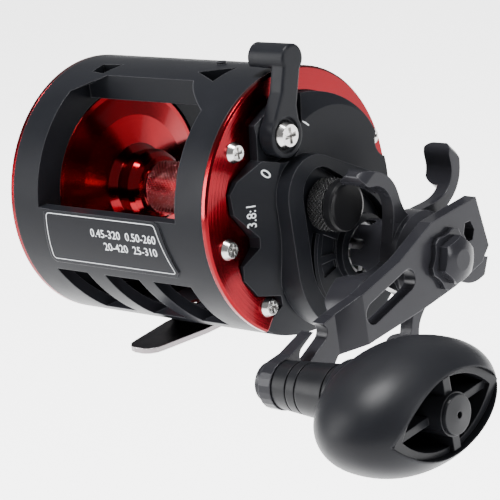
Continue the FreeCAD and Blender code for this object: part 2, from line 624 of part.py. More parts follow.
def make_yoke():
    start = "gear_face + gear_width + 0.7"
    plate = [cylinder("6.4", "0.8", (start, "0", "axis_height"))]
    holes = [cylinder("3.1", "3", (start + " - 1", "0", "axis_height"))]
    for across, up in yoke_spots():
        plate.append(cylinder("3.2", "0.8", (start, "%.4f" % across, "axis_height + %.4f" % up)))
        holes.append(cylinder("1.3", "3", (start + " - 1", "%.4f" % across, "axis_height + %.4f" % up)))
    turn = shaft_angle + 90
    bar = doc.addObject("Part::Box", "Block")
    bar.Length = 0.8
    bar.Width = 16
    bar.Height = 4.4
    spin = Rotation(Vector(1, 0, 0), turn)
    corner = spin.multVec(Vector(0, -8, -2.2))
    bar.Placement = FreeCAD.Placement(Vector(size("gear_face") + size("gear_width") + 0.7, corner.y, spool_z + corner.z), spin)
    plate.append(bar)
    tongue = prism([("-6", "axis_height + 2"), ("2", "axis_height + 5"), ("-1.6", "axis_height + 13.2"),
                    ("-7.4", "axis_height + 12.8")], "0.8", (start, "0", "0"))
    plate.append(tongue)
    node(cut(fuse(plate), holes), "clutch_yoke")


def make_yoke_springs():
    start = size("gear_face") + size("gear_width") + 1.5
    length = size("cover_ceiling") - start
    springs = []
    for across, up in yoke_spots():
        springs.append(coil(1.8, 0.2, length, 2.5).translated(Vector(start, across, spool_z + up)))
    node(feature(Part.makeCompound(springs)), "yoke_springs")


def coil(radius, wire, length, turns):
    """A round-wire spring along X, made of half turns that tilt to and fro."""
    rise = (length - 2 * wire) / turns / 2
    reach = math.hypot(radius, rise / 2)
    tilt = math.degrees(math.atan2(rise / 2, radius))
    halves = []
    for step in range(int(2 * turns)):
        half = Part.makeTorus(reach, wire, Vector(0, 0, 0), Vector(0, 0, 1), 0, 360, 180)
        half.rotate(Vector(0, 0, 0), Vector(0, 0, 1), 180 * (step % 2))
        half.rotate(Vector(0, 0, 0), Vector(0, 1, 0), -tilt if step % 2 else tilt)
        halves.append(half.translated(Vector(0, 0, rise * (step + 0.5))))
    solid = halves[0].multiFuse(halves[1:]).Solids[0]
    solid.rotate(Vector(0, 0, 0), Vector(0, 1, 0), 90)
    return solid.translated(Vector(wire, 0, 0))


# --- gear plate and bearings ----------------------------------------------------
def make_gear_plate():
    low = "axis_height - shaft_drop"
    start = "plate_face - plate_thickness"
    disc = cylinder("plate_radius", "plate_thickness", (start, "0", "axis_height"))
    posts = []
    for across, up in yoke_spots():
        posts.append(cylinder("1.2", "cover_ceiling - plate_face", ("plate_face - 0.2", "%.4f" % across, "axis_height + %.4f" % up)))
    pivot_y, pivot_z = dog_pivot()
    posts.append(cylinder("1.0", "1.7", ("plate_face - 0.2", "%.4f" % pivot_y, "%.4f" % pivot_z)))
    holes = [cylinder("bearing_radius + 0.02", "bearing_width + 1.1", (start + " - 1", "0", "axis_height")),
             cylinder("bearing_radius - race_wall", "plate_thickness + 2", (start + " - 1", "0", "axis_height")),
             cylinder("bearing_radius + 0.02", "bearing_width + 1", ("plate_face - bearing_width - 0.1", "shaft_forward", low)),
             cylinder("bearing_radius - race_wall", "plate_thickness", (start + " + 1", "shaft_forward", low))]
    lighten = []
    for angle in (60, 95, 130, 165, 200, 235):
        lighten.append(cylinder("4.2", "plate_thickness - 2", at_angle("18", angle, start + " - 0.01")))
    node(cut(fuse([disc] + posts), holes + lighten), "gear_plate")


def bearing(start, at):
    """Ball bearing: two races and their balls, as separate solids of one bought-in piece."""
    y, z = at
    inner = lathe(tube_points(start, "%s + bearing_width" % start, "spool_shaft_radius + 0.01", "spool_shaft_radius + race_wall"),
                  ("0", y, z))
    outer = lathe(tube_points(start, "%s + bearing_width" % start, "bearing_radius - race_wall", "bearing_radius"), ("0", y, z))
    balls = []
    for index in range(7):
        turn = 2 * math.pi * index / 7
        ball = doc.addObject("Part::Sphere", "Ball")
        bind(ball, "Radius", "(bearing_radius - spool_shaft_radius - 2 * race_wall) / 2 - 0.01")
        middle = "(bearing_radius + spool_shaft_radius) / 2"
        balls.append(place(ball, ("%s + bearing_width / 2" % start, "%s + %s * %.6f" % (y, middle, math.cos(turn)),
                                  "%s + %s * %.6f" % (z, middle, math.sin(turn)))))
    return inner, outer, balls


def make_bearings():
    right_start = "plate_face - plate_thickness + 0.1"
    left_start = "-plate_face + plate_thickness - bearing_width - 0.1"
    shaft_start = "plate_face - bearing_width"
    for start, label, at in ((right_start, "right", SPOOL_AXIS[1:]), (left_start, "left", SPOOL_AXIS[1:]),
                             (shaft_start, "shaft", SHAFT_AXIS[1:])):
        inner, outer, balls = bearing(start, at)
        node(inner, "%s_bearing_inner_race" % label)
        node(group([outer] + balls), "%s_bearing_outer_race" % label)


# --- spool ------------------------------------------------------------------------
def make_spool():
    half = "spool_half"
    rim = "spool_half - spool_rim"
    side = [("hub_inset", "arbor_radius"), ("hub_inset + 0.4", "hub_radius - 1.9"), ("hub_inset + 1.6", "hub_radius - 0.7"),
            ("hub_inset + 3.4", "hub_radius"), ("hub_inset + 6", "hub_radius - 0.1"), ("hub_inset + 8.2", "hub_radius - 0.6"),
            ("%s - 3.2" % rim, "hub_radius + 1.4"), ("%s - 1.9" % rim, "spool_radius - 8"),
            ("%s - 0.2" % rim, "spool_radius - 1.4"), (rim, "spool_radius"), (half, "spool_radius"),
            (half, "spool_shaft_radius + 0.02")]
    points = side + [("-(%s)" % along, across) for along, across in reversed(side)]
    blank = lathe(points, SPOOL_AXIS)
    hollows = [cone("spool_cavity - 5", "spool_cavity", "cavity_depth", (half + " - cavity_depth", "0", "axis_height")),
               cone("spool_cavity", "spool_cavity - 5", "cavity_depth", ("-" + half, "0", "axis_height"))]
    node(cut(blank, hollows), "spool")


def make_spool_shaft():
    left = "-40.6"
    right = "50.4"
    points = [(left, "0"), ("%s + 0.8" % left, "spool_shaft_radius - 0.9"), ("%s + 2" % left, "spool_shaft_radius"),
              ("%s - 2" % right, "spool_shaft_radius"), ("%s - 0.8" % right, "spool_shaft_radius - 0.9"), (right, "0")]
    shaft = lathe(points, SPOOL_AXIS)
    pin = cylinder("0.7", "2 * 3.5", ("plate_face + 0.75", "-3.5", "axis_height"), "y")
    node(fuse([shaft, pin]), "spool_shaft")


# --- gears --------------------------------------------------------------------------
def tooth_wire(teeth, root, tip, turn, backlash=0.0):
    """Closed outline of a spur gear with straight-sided teeth, about the X axis."""
    step = 360.0 / teeth
    points = []
    for index in range(teeth):
        middle = turn + index * step
        foot = step * (0.34 - backlash)
        crest = step * (0.13 - backlash / 2)
        points.append(polar(root, middle - foot))
        points.append(polar(tip, middle - crest))
        points.append(polar(tip, middle + crest))
        points.append(polar(root, middle + foot))
    return Part.makePolygon(points + points[:1])


def make_main_gear():
    teeth = int(size("main_teeth"))
    pitch = gear_module * teeth / 2
    # A tooth of the gear faces the pinion, which shows it a gap.
    wire = tooth_wire(teeth, pitch - 1.2 * gear_module, pitch + 0.85 * gear_module, shaft_angle + 180, 0.03)
    gear = Part.Face(wire).extrude(Vector(size("gear_width"), 0, 0))
    pocket = Part.makeCylinder(13.4, size("gear_width"), Vector(1.0, 0, 0), Vector(1, 0, 0))
    bore = Part.makeCylinder(size("gear_shaft_radius") + size("run_gap"), 9, Vector(-1, 0, 0), Vector(1, 0, 0))
    node(feature(gear.cut(pocket).cut(bore), (size("gear_face"), shaft_y, shaft_z)), "main_gear")


def make_pinion():
    teeth = int(size("pinion_teeth"))
    pitch = gear_module * teeth / 2
    start = size("gear_face") - 0.3
    end = size("gear_face") + size("gear_width") + 0.4
    wire = tooth_wire(teeth, pitch - 1.2 * gear_module, pitch + 0.85 * gear_module, shaft_angle + 180.0 / teeth, 0.03)
    toothed = Part.Face(wire).extrude(Vector(end - start, 0, 0))
    along = Vector(1, 0, 0)
    clutch = Part.makeCylinder(3.7, 0.9, Vector(-0.9, 0, 0), along)
    neck = Part.makeCylinder(2.95, 1.5, Vector(end - start, 0, 0), along)
    flange = Part.makeCylinder(4.0, 0.5, Vector(end - start + 1.2, 0, 0), along)
    slot = Part.makeBox(1.5, 9, 1.7, Vector(-1.4, -4.5, -0.85))
    bore = Part.makeCylinder(size("spool_shaft_radius") + size("run_gap"), 12, Vector(-3, 0, 0), along)
    pinion = toothed.fuse([clutch, neck, flange]).cut(slot).cut(bore)
    node(feature(pinion, (start, 0, spool_z)), "pinion_gear")


def make_ratchet():
    """Anti-reverse wheel: saw teeth that only slip one way."""
    count = 14
    points = []
    for index in range(count):
        turn = 360.0 * index / count
        points.append(polar(7.6, turn))
        points.append(polar(6.1, turn + 3))
    wheel = Part.Face(Part.makePolygon(points + points[:1])).extrude(Vector(1.0, 0, 0))
    bore = Part.makeCylinder(size("gear_shaft_radius") + 0.01, 4, Vector(-1, 0, 0), Vector(1, 0, 0))
    node(feature(wheel.cut(bore), (size("plate_face") + 0.5, shaft_y, shaft_z)), "ratchet_wheel")


def dog_pivot():
    """Where the anti-reverse dog turns, 12 mm from the handle axis."""
    spot = polar(12.2, 158)
    return shaft_y + spot.y, shaft_z + spot.z


def make_dog():
    pivot_y, pivot_z = dog_pivot()
    eye = Part.makeCylinder(2.0, 1.0, Vector(0, 0, 0), Vector(1, 0, 0))
    nose = [Vector(0, 0.2, 1.9), Vector(0, 4.1, 2.6), Vector(0, 4.4, 1.5), Vector(0, 1.2, -1.4)]
    finger = Part.Face(Part.makePolygon(nose + nose[:1])).extrude(Vector(1.0, 0, 0))
    bore = Part.makeCylinder(1.0 + size("run_gap"), 4, Vector(-1, 0, 0), Vector(1, 0, 0))
    dog = eye.fuse(finger).cut(bore)
    node(feature(dog, (size("plate_face") + 0.5, pivot_y, pivot_z)), "anti_reverse_dog")


def make_gear_shaft():
    start = "plate_face - plate_thickness + 2"
    shoulder = "plate_face + 0.3"
    thin = "spool_shaft_radius"
    end = "plate_face - plate_thickness + 2 + shaft_length"
    points = [(start, "0"), (start, thin), (shoulder, thin), (shoulder, "gear_shaft_radius"),
              ("%s - 0.6" % end, "gear_shaft_radius"), (end, "gear_shaft_radius - 0.6"), (end, "0")]
    node(lathe(points, SHAFT_AXIS), "gear_shaft")


# --- drag stack -------------------------------------------------------------------
def washer(start, thickness, inner, outer, at=SHAFT_AXIS):
    end = "%s + %s" % (start, thickness)
    return lathe(tube_points(start, end, inner, outer), at)


def make_drag_stack():
    thick = 0.46
    fibre = []
    metal = []
    for index in range(5):
        start = "gear_face + 1.02 + %.2f" % (index * (thick + 0.02))
        item = washer(start, "%.2f" % thick, "gear_shaft_radius + run_gap + 0.6", "13.2" if index % 2 == 0 else "13.0")
        (fibre if index % 2 == 0 else metal).append(item)
    node(group(fibre), "drag_fibre_washers")
    node(group(metal), "drag_metal_washers")
    node(washer("gear_face + 3.45", "0.8", "gear_shaft_radius + 0.01", "13"), "drag_pressure_plate")
    node(washer("gear_face + 4.27", "cup_face - gear_face + 4.6", "gear_shaft_radius + 0.01", "4.6"), "drag_sleeve")
    cup_wall = cylinder("cup_radius", "star_face - cup_face - 0.1", ("cup_face",) + SHAFT_AXIS[1:])
    inside = cylinder("cup_radius - 1", "star_face - cup_face - 1.7", ("cup_face - 0.2",) + SHAFT_AXIS[1:])
    bore = cylinder("gear_shaft_radius + run_gap", "30", ("cup_face - 1",) + SHAFT_AXIS[1:])
    notches = []
    for index in range(7):
        turn = 151 + index * 360 / 7
        spin = Rotation(Vector(1, 0, 0), turn)
        slot = doc.addObject("Part::Box", "Block")
        slot.Length = 3.2
        slot.Width = 4
        slot.Height = 3
        slot.Placement = FreeCAD.Placement(Vector(size("cup_face") - 0.2, shaft_y, shaft_z)
                                           + spin.multVec(Vector(0, size("cup_radius") - 2.5, -1.5)), spin)
        end = doc.addObject("Part::Cylinder", "Round")
        end.Radius = 1.5
        end.Height = 4
        end.Placement = FreeCAD.Placement(Vector(size("cup_face") + 3, shaft_y, shaft_z) + polar(size("cup_radius") - 2.5, turn),
                                          Rotation(Vector(0, 0, 1), polar(1, turn)))
        notches += [slot, end]
    node(cut(cup_wall, [inside, bore] + notches), "drag_cup")
    springs = []
    for index in range(2):
        near = "star_face - 4.7 + %.2f" % (index * 1.35)
        flip = index == 0
        points = [(near, "gear_shaft_radius + 0.3"), ("%s + 0.8" % near, "gear_shaft_radius + 0.3"),
                  ("%s + 1.3" % near, "cup_radius - 1.4"), ("%s + 0.5" % near, "cup_radius - 1.4")]
        if not flip:
            points = [("%s + 0.5" % near, "gear_shaft_radius + 0.3"), ("%s + 1.3" % near, "gear_shaft_radius + 0.3"),
                      ("%s + 0.8" % near, "cup_radius - 1.4"), (near, "cup_radius - 1.4")]
        springs.append(lathe(points, SHAFT_AXIS))
    node(group(springs), "drag_spring_washers")
    make_one_way_bearing()


def make_one_way_bearing():
    """Roller clutch in the cover: its rollers jam on the sleeve when the handle is turned back."""
    start = "cover_ceiling - 0.9"
    pieces = [washer(start, "3.6", "6.5", "7.45")]
    for index in range(8):
        turn = 2 * math.pi * (index + 0.5) / 8
        pieces.append(cylinder("0.9", "3", (start + " + 0.3", "shaft_forward + 5.56 * %.6f" % math.cos(turn),
                                            "axis_height - shaft_drop + 5.56 * %.6f" % math.sin(turn))))
    node(group(pieces), "one_way_bearing")


# --- star drag ---------------------------------------------------------------------
def star_outline():
    """Five swept arms. Radii are shares of the tip radius, angles are about each arm's tip."""
    reach = size("star_radius")
    hub = size("star_hub")
    edges = []
    for index in range(5):
        tip = STAR_TIP + 72 * index
        out = [polar(hub - 1, tip - 24), polar(0.56 * reach, tip - 14), polar(0.67 * reach, tip - 14),
               polar(0.80 * reach, tip - 11), polar(0.94 * reach, tip - 4), polar(reach, tip + 0.5)]
        back = [polar(reach, tip + 0.5), polar(0.99 * reach, tip + 5), polar(0.93 * reach, tip + 5.5),
                polar(0.84 * reach, tip + 0.5), polar(0.74 * reach, tip - 4), polar(0.60 * reach, tip - 4.5),
                polar(0.42 * reach, tip + 14), polar(hub - 1, tip + 48)]
        for points in (out, back):
            curve = Part.BSplineCurve()
            curve.interpolate(points)
            edges.append(curve.toShape())
    return Part.Face(Part.Wire(edges))


STAR_TIP = 47.5


def make_star():
    reach = size("star_radius")
    along = Vector(1, 0, 0)
    face = star_outline()
    web = face.extrude(Vector(size("star_web"), 0, 0))
    depth = size("star_paddle")
    deep = star_outline().extrude(Vector(depth, 0, 0)).translated(Vector(size("star_web") - depth, 0, 0))
    parts = [web]
    pads = []
    for index in range(5):
        turn = STAR_TIP - 3 + 72 * index
        middle = polar(0.84 * reach, turn, size("star_web") - depth / 2)
        across = polar(1, turn + 90)
        pad = Part.makeCylinder(0.5 * depth + 1.1, 24, middle - across * 12, across)
        pads.append(pad)
        parts.append(deep.common(pad))
    hub = Part.makeCone(size("star_hub"), size("star_hub") - 2, size("star_hub_length") - 1.6,
                        Vector(size("star_web") + 1.6, 0, 0), along)
    hub_low = Part.makeCylinder(size("star_hub"), size("star_web") + 1.6, Vector(0, 0, 0), along)
    corners = Part.makeCylinder(reach + 4, 24, Vector(-12, 0, 0), along)
    corners = corners.cut(Part.makeCylinder(0.84 * reach, 26, Vector(-13, 0, 0), along)).cut(pads[0].fuse(pads[1:]))
    star = parts[0].fuse(parts[1:] + [hub, hub_low]).cut(corners).removeSplitter()
    top = size("star_web") + size("star_hub_length")
    recess = Part.makeCylinder(size("star_hub") - 3, 3.2, Vector(top - 3, 0, 0), along)
    bore = Part.makeCylinder(size("gear_shaft_radius") + size("run_gap"), 30, Vector(-9, 0, 0), along)
    node(feature(star.cut(recess).cut(bore), (size("star_face"), shaft_y, shaft_z)), "star_drag")


# --- handle ------------------------------------------------------------------------
def arm_outline(points):
    return Part.Face(Part.makePolygon([Vector(0, y, z) for y, z in points + points[:1]]))


def make_handle_arm():
    """A flat arm, wide at the hub and narrow at the knob, with one joggle."""
    thick = size("arm_thickness")
    knob_y = -size("knob_back")
    knob_z = spool_z - size("knob_drop")
    near = size("arm_face")
    drop = size("arm_joggle")
    end = size("knob_end")
    y, z = shaft_y, shaft_z
    bend = knob_y + 21
    bend_end = bend + 8
    top_hub, low_hub = z + 12.4, z - 8.8
    outline = [(y + 15.4, z + 13.0), (y + 18.6, z - 2.2), (y + 14.8, z - 6.0), (y + 2, low_hub),
               (y - 12, low_hub - 1.6), (bend_end, low_hub - 3.4), (bend, low_hub - 3.8),
               (bend - 8, knob_z - end - 0.1), (knob_y, knob_z - end)]
    outline += [(knob_y + end * math.cos(math.radians(turn)), knob_z + end * math.sin(math.radians(turn)))
                for turn in range(255, 95, -15)]
    outline += [(knob_y + 3, knob_z + end + 0.3), (knob_y + 11, knob_z + end + 2.9), (bend, z - 1.6), (bend_end, z + 1.6), (y - 20, z + 5.6), (y - 5, top_hub - 0.6)]
    long = near + thick + 2
    flat = arm_outline(outline).extrude(Vector(long, 0, 0))
    # Side view of the strip, seen from above: straight, one joggle, straight.
    profile = [(y + 30, near), (bend_end, near), (bend, near - drop), (knob_y - 20, near - drop),
               (knob_y - 20, near - drop + thick), (bend + 0.6, near - drop + thick), (bend_end + 0.6, near + thick),
               (y + 30, near + thick)]
    strip = Part.Face(Part.makePolygon([Vector(x, across, -40) for across, x in profile + profile[:1]])).extrude(Vector(0, 0, 120))
    arm = flat.common(strip)
    along = Vector(1, 0, 0)
    tools = [Part.makeCylinder(size("gear_shaft_radius") + 0.02, 12, Vector(near - 4, y, z), along),
             Part.makeCylinder(size("axle_radius") + 0.02, 20, Vector(near - 10, knob_y, knob_z), along)]
    hexagon = [Vector(near - 4, y + 10.6 + 2.4 * math.cos(math.radians(turn)), z + 4.4 + 3.2 * math.sin(math.radians(turn)))
               for turn in range(0, 360, 60)]
    tools.append(Part.Face(Part.makePolygon(hexagon + hexagon[:1])).extrude(Vector(12, 0, 0)))
    for first, last, half in (((y - 17.5, z - 0.6), (y - 33, z - 4.6), 3.1),
                              ((knob_y + 15.5, z - 4.6), (knob_y + 3.8 + 5, knob_z + 9.8 - 4.6), 2.6)):
        tools.append(slot_tool(first, last, half, near - 8, 20))
    arm = arm.cut(tools[0])
    for tool in tools[1:]:
        arm = arm.cut(tool)
    node(feature(arm), "handle_arm")


def slot_tool(first, last, half, start, length):
    """A round-ended slot between two points of the YZ plane."""
    one = Vector(start, first[0], first[1])
    two = Vector(start, last[0], last[1])
    run = two - one
    side = Vector(0, -run.z, run.y).normalize() * half
    straight = Part.Face(Part.makePolygon([one + side, two + side, two - side, one - side, one + side]))
    along = Vector(1, 0, 0)
    ends = [Part.makeCylinder(half, length, spot, along) for spot in (one, two)]
    return straight.extrude(Vector(length, 0, 0)).fuse(ends)


def make_handle_fasteners():
    near = size("arm_face") + size("arm_thickness")
    along = Vector(1, 0, 0)
    points = []
    for index in range(24):
        turn = index * 15
        points.append(polar(8.6 if index % 4 < 2 else 7.4, turn))
    plate = Part.Face(Part.makePolygon(points + points[:1])).extrude(Vector(size("lock_thickness"), 0, 0))
    bore = Part.makeCylinder(size("gear_shaft_radius") + 0.02, 30, Vector(-5, 0, 0), along)
    node(feature(plate.cut(bore), (near, shaft_y, shaft_z)), "lock_plate")
    corner = size("nut_flats") / math.sqrt(3)
    hexagon = [polar(corner, turn + 12) for turn in range(0, 360, 60)]
    nut = Part.Face(Part.makePolygon(hexagon + hexagon[:1])).extrude(Vector(size("nut_height"), 0, 0))
    dome = Part.makeSphere(14, Vector(size("nut_height") - 13.7, 0, 0))
    collar = Part.makeCone(corner + 3.2, corner - 1.0, size("nut_height") + 0.2, Vector(0, 0, 0), along)
    seat = Part.makeCylinder(size("gear_shaft_radius") + 0.02, size("nut_height") - 1.0, Vector(-0.01, 0, 0), along)
    nut = nut.common(dome).common(collar).cut(seat)
    node(feature(nut, (near + size("lock_thickness"), shaft_y, shaft_z)), "handle_nut")
    star_top = "star_face + star_web + star_hub_length"
    node(washer(star_top + " + 0.4", "arm_face - (%s) - 0.4" % star_top, "gear_shaft_radius + 0.01", "6"), "handle_spacer")


# --- knob --------------------------------------------------------------------------
def grip_solid():
    """Egg-shaped grip: oval across its axis, drawn in to a round neck at the arm."""
    half_long = size("knob_half_length")
    half_high = size("knob_half_height")
    half_deep = size("knob_depth") / 2
    sections = []
    for share in (-0.99, -0.9, -0.76, -0.55, -0.3, 0, 0.3, 0.55, 0.76, 0.9, 0.985):
        bulge = (1 - abs(share) ** 2.26) ** (1 / 2.26)
        wide, high = half_long * bulge, half_high * bulge
        if share < -0.8:
            wide, high = max(wide, 10.2), max(high, 9.3)
        ellipse = Part.Ellipse(Vector(half_deep * (1 + share), 0, 0), wide, high)
        ellipse.Axis = Vector(1, 0, 0)
        ellipse.XAxis = Vector(0, 1, 0)
        sections.append(Part.Wire(ellipse.toShape()))
    return Part.makeLoft(sections, True, False)


def lens(half_long, half_high, start, length):
    """A solid along X with a pointed oval section."""
    ends = [Vector(start, -half_long, 0), Vector(start, half_long, 0)]
    arcs = [Part.Arc(ends[0], Vector(start, 0, rise), ends[1]).toShape() for rise in (half_high, -half_high)]
    return Part.Face(Part.Wire(arcs)).extrude(Vector(length, 0, 0))


def make_knob():
    along = Vector(1, 0, 0)
    start = size("knob_start")
    knob_y = -size("knob_back")
    knob_z = spool_z - size("knob_drop")
    grip = grip_solid()
    depth = size("knob_depth")
    # The mouth is a pointed oval well that the hard core stands in.
    mouth_long, mouth_high = size("knob_half_length") * 0.80, size("knob_half_height") * 0.66
    well = lens(mouth_long, mouth_high, 8, depth)
    neck = Part.makeCylinder(8.6 + 0.06, 12, Vector(-2, 0, 0), along)
    grip = grip.cut(well).cut(neck)
    grip.rotate(Vector(0, 0, 0), along, 3.4)
    node(feature(grip, (start, knob_y, knob_z)), "knob_grip")
    shell = lens(mouth_long - 0.12, mouth_high - 0.07, 8.05, depth - 14)
    core = shell.cut(lens(mouth_long - 3.4, mouth_high - 1.6, 9.5, depth))
    hub = Part.makeCylinder(5.6, depth - 11.5, Vector(8.1, 0, 0), along)
    spokes = [Part.makeBox(depth - 12.5, 2.6, 2 * mouth_high - 1.2, Vector(8.1, -1.3, 0.6 - mouth_high)),
              Part.makeBox(depth - 15.5, 2 * mouth_long - 6, 2.0, Vector(8.1, 3 - mouth_long, -1))]
    stem_start = size("arm_face") - size("arm_joggle") + size("arm_thickness") + 0.3 - start
    stem = Part.makeCone(size("knob_stem"), 8.6, 9 - stem_start, Vector(stem_start, 0, 0), along)
    core = core.fuse([hub, stem] + spokes).removeSplitter()
    bore = Part.makeCylinder(size("axle_radius") + size("run_gap"), 60, Vector(stem_start - 1, 0, 0), along)
    seat = Part.makeCylinder(4.6, 4, Vector(depth - 6.6, 0, 0), along)
    grooves = []
    for where in (4.6, 8.0, 17.4):
        ring = Part.makeCylinder(11, 0.5, Vector(stem_start + where, 0, 0), along)
        radius = size("knob_stem") + (8.6 - size("knob_stem")) * (where + 0.25) / (9 - stem_start) - 0.4
        grooves.append(ring.cut(Part.makeCylinder(radius, 0.5, Vector(stem_start + where, 0, 0), along)))
    core = core.cut(bore).cut(seat)
    for groove in grooves:
        core = core.cut(groove)
    core.rotate(Vector(0, 0, 0), along, 3.4)
    node(feature(core, (start, knob_y, knob_z)), "knob_core")
    points = [("arm_face - arm_joggle - 3.4", "0"), ("arm_face - arm_joggle - 3.4", "4.2"),
              ("arm_face - arm_joggle - 2.6", "5.2"), ("arm_face - arm_joggle", "5.2"),
              ("arm_face - arm_joggle", "axle_radius"), ("knob_start + knob_depth - 6.8", "axle_radius"),
              ("knob_start + knob_depth - 6.8", "1.2"), ("knob_start + knob_depth - 5", "1.2"),
              ("knob_start + knob_depth - 5", "0")]
    node(lathe(points, KNOB_AXIS), "knob_axle")
    cap = [("knob_start + knob_depth - 4.6", "0.9"), ("knob_start + knob_depth - 4.6", "4.4"),
           ("knob_start + knob_depth - 3.3", "4.4"), ("knob_start + knob_depth - 3.3", "5.2"),
           ("knob_start + knob_depth - 2.4", "5"),
           ("knob_start + knob_depth - 2.0", "0.9")]
    node(lathe(cap, KNOB_AXIS), "knob_cap")


# --- cast control ---------------------------------------------------------------------
def make_cast_control():
    start = size("cap_base")
    along = Vector(1, 0, 0)
    radius = size("cap_radius")
    knurl = size("cap_knurl")
    nose = size("cap_nose")
    length = size("cap_length")
    band = Part.makeCylinder(radius, knurl, Vector(0, 0, 0), along)
    dome_profile = [Vector(knurl, 0, 0), Vector(knurl, radius - 0.5, 0), Vector(knurl + 0.8, radius - 0.7, 0),
                    Vector(length - 1, nose + 0.6, 0), Vector(length, nose - 0.6, 0), Vector(length, 0, 0)]
    dome = Part.Face(Part.makePolygon(dome_profile + dome_profile[:1])).revolve(Vector(0, 0, 0), along, 360)
    hollow = Part.makeCylinder(radius - 1.4, 2.0, Vector(-0.1, 0, 0), along)
    well = Part.makeCylinder(size("spool_shaft_radius") + 0.4, 3.2, Vector(-0.1, 0, 0), along)
    cap = band.fuse(dome).cut(hollow).cut(well).removeSplitter()
    node(feature(cap, (start, 0, spool_z)), "cast_control_cap")
    node(washer("50.5", "0.5", "0.6", "spool_shaft_radius + 0.3", SPOOL_AXIS), "right_tension_washer")


# --- left side --------------------------------------------------------------------------
def make_left_cover():
    near = "window_half + ring_width"
    x = "-(%s) - trim_thickness" % near
    # Corners run from the rim over the dome to the middle boss, then back inside.
    wall = "2.2"
    points = [("-(%s) - 0.05" % near, "left_cover_radius - 3"), ("-(%s) - 0.05" % near, "left_cover_radius"),
              (x + " - 1.6", "left_cover_radius"), (x + " - left_dome * 0.75", "left_cover_radius - 6"),
              (x + " - left_dome", "left_cover_radius - 13"), (x + " - left_dome", "8.5"),
              (x + " - left_dome - 1.4", "7.2"), (x + " - left_dome - 1.4", "0"),
              (x + " - left_dome + 4.7", "0"), (x + " - left_dome + 4.7", "3.6"),
              (x + " - left_dome + %s" % wall, "4.4"), (x + " - left_dome + %s" % wall, "left_cover_radius - 14"),
              (x + " - left_dome * 0.75 + %s" % wall, "left_cover_radius - 8")]
    dome = lathe(points, SPOOL_AXIS)
    outside = "-window_half - ring_width - 20"
    slot = fuse([box("20", "button_slot", "3.2", (outside, "-12 - button_slot", "axis_height - 1.6")),
                 cylinder("1.6", "20", (outside, "-12", "axis_height")),
                 cylinder("1.6", "20", (outside, "-12 - button_slot", "axis_height"))])
    node(cut(dome, [slot]), "left_side_plate")
    # Inner disc that closes the left ring and carries the bearing.
    start = "-plate_face"
    disc = cylinder("plate_radius", "plate_thickness", (start, "0", "axis_height"))
    holes = [cylinder("bearing_radius + 0.02", "bearing_width + 1", ("-plate_face + plate_thickness - bearing_width - 0.1", "0", "axis_height")),
             cylinder("bearing_radius - race_wall", "plate_thickness + 2", (start + " - 1", "0", "axis_height"))]
    for angle in range(30, 360, 60):
        holes.append(cylinder("4.2", "plate_thickness - 2", at_angle("17.5", angle, start + " + 2.01")))
    node(cut(disc, holes), "left_inner_plate")
    node(washer("-41.2", "0.5", "0.6", "spool_shaft_radius + 0.3", SPOOL_AXIS), "left_tension_washer")


def make_clicker():
    count = 12
    points = []
    for index in range(count):
        points.append(polar(6.6, 360.0 * (index + 0.3) / count))
        points.append(polar(6.6, 360.0 * (index + 0.7) / count))
        points.append(polar(5.0, 360.0 * (index + 1) / count))
    wheel = Part.Face(Part.makePolygon(points + points[:1])).extrude(Vector(1.2, 0, 0))
    bore = Part.makeCylinder(size("spool_shaft_radius") + 0.01, 5, Vector(-2, 0, 0), Vector(1, 0, 0))
    node(feature(wheel.cut(bore), (-size("plate_face") - 2.6, 0, spool_z)), "click_wheel")
    top = "-window_half - ring_width - trim_thickness - left_dome"
    rest = "-12 - button_slot + 1"
    stem = cylinder("1.4", "6.5", (top + " - 0.4", rest, "axis_height"))
    head = cylinder("button_radius", "1.6", (top + " - 1.9", rest, "axis_height"))
    pawl = prism([(rest + " - 1.4", "axis_height - 1.4"), ("-12", "axis_height - 1.4"), ("-9.6", "axis_height - 0.2"),
                  ("-9.6", "axis_height + 0.2"), ("-12", "axis_height + 1.4"), (rest + " - 1.4", "axis_height + 1.4")],
                 "1.0", (top + " + 5.9", "0", "0"))
    node(fuse([stem, head, pawl]), "click_button")


make_frame()
make_foot()
make_side_screws()
make_right_ring()
make_left_ring()
make_gear_cover()
make_lever()
make_lever_screw()
make_cam()
make_yoke()
make_yoke_springs()
make_gear_plate()
make_bearings()
make_spool()
make_spool_shaft()
make_main_gear()
make_pinion()
make_ratchet()
make_dog()
make_gear_shaft()
make_drag_stack()
make_star()
make_handle_arm()
make_handle_fasteners()
make_knob()
make_cast_control()
make_left_cover()
make_clicker()

doc.recompute()
faults = []
for item in doc.Objects:
    if "Invalid" in item.State or "Error" in item.State:
        faults.append("%s %s %s" % (item.Name, item.Label, item.State))
for item in nodes:
    shape = item.Shape
    if shape.isNull() or not shape.isValid():
        faults.append("%s has a bad shape" % item.Label)
if faults:
    raise RuntimeError("\n".join(faults))
os.makedirs("parts", exist_ok=True)
for item in nodes:
    item.Shape.exportStep("parts/%s.step" % item.Label)
    print("%-28s solids %2d volume %9.2f" % (item.Label, len(item.Shape.Solids), item.Shape.Volume))
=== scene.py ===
import bpy, bmesh, math, json
from mathutils import Vector, Matrix


